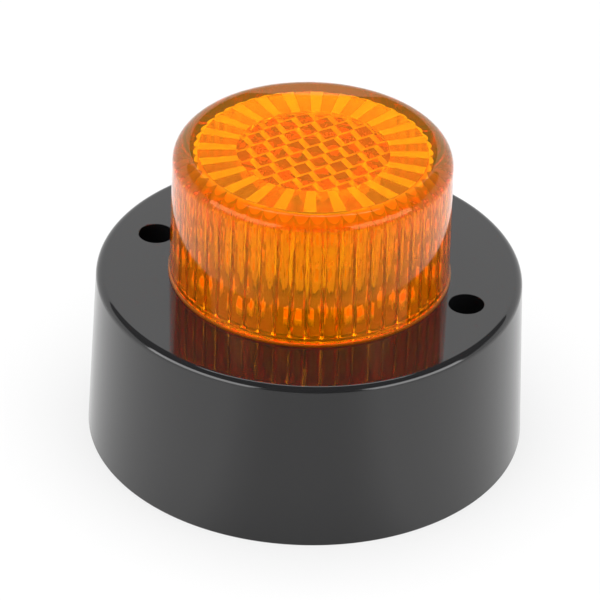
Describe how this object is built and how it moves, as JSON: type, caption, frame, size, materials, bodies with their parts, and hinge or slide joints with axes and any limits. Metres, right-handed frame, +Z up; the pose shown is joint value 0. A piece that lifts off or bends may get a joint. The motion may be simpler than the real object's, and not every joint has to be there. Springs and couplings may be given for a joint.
{
  "type": "barricade warning light",
  "caption": "Amber warning light: a fluted round lens that screws into a black round base with bolt holes through its deck.",
  "frame": {"origin": "middle of the mounting face, under the centre of the lens", "axes": "+Z up along the lens axis, +X through the two mounting holes"},
  "size_m": [0.1016, 0.1016, 0.0741],
  "materials": {
    "black_housing": "black moulded ABS, satin wall, polished deck",
    "amber_lens": "clear amber polycarbonate, polished outside, fluted inside",
    "foam_rubber": "closed-cell foam",
    "soft_rubber": "moulded rubber",
    "zinc_steel": "zinc-plated",
    "green_board": "green solder mask",
    "white_board": "white solder mask",
    "terminal_green": "moulded",
    "capacitor_sleeve": "shrink sleeve",
    "ferrite": "sintered",
    "black_epoxy": "moulded",
    "red_insulation": "extruded",
    "white_plastic": "moulded",
    "lamp_yellow": "silicone over phosphor",
    "bare_aluminium": "drawn, unpolished"
  },
  "bodies": {
    "base": {"base_housing": "black_housing", "base_plate": "black_housing", "foot_seal": "foam_rubber", "plate_screws": "zinc_steel", "cable_grommet": "soft_rubber", "driver_board": "green_board", "board_screws": "zinc_steel", "terminal_block": "terminal_green", "terminal_screws": "zinc_steel", "capacitor_large": "capacitor_sleeve", "capacitor_small": "capacitor_sleeve", "choke": "ferrite", "driver_chip": "black_epoxy", "power_diodes": "black_epoxy", "chip_resistors": "black_epoxy", "lamp_leads": "red_insulation", "lamp_tray": "white_plastic", "tray_screws": "zinc_steel", "lamp_board": "white_board", "ring_leds": "lamp_yellow", "heat_post": "bare_aluminium", "post_screw": "zinc_steel", "led_board_1": "white_board", "led_board_2": "white_board", "led_board_3": "white_board", "led_board_4": "white_board", "led_board_5": "white_board", "led_board_6": "white_board", "side_leds": "lamp_yellow", "cap_board": "white_board", "cap_leds": "lamp_yellow", "cap_screw": "zinc_steel"},
    "seal": {"lens_seal": "soft_rubber"},
    "lens": {"lens": "amber_lens"}
  },
  "joints": [
    {"name": "lens_rise", "type": "slide", "parent": "base", "child": "seal", "axis": [0, 0, 1], "range_m": [0, 0.006]},
    {"name": "lens_unscrew", "type": "hinge", "parent": "seal", "child": "lens", "pos_m": [0, 0, 0.0414], "axis": [0, 0, 1], "range_deg": [0, 720]}
  ],
  "couplings": [
    {"joint": "lens_rise", "follows": "lens_unscrew", "m_per_rad": 0.00047746}
  ]
}
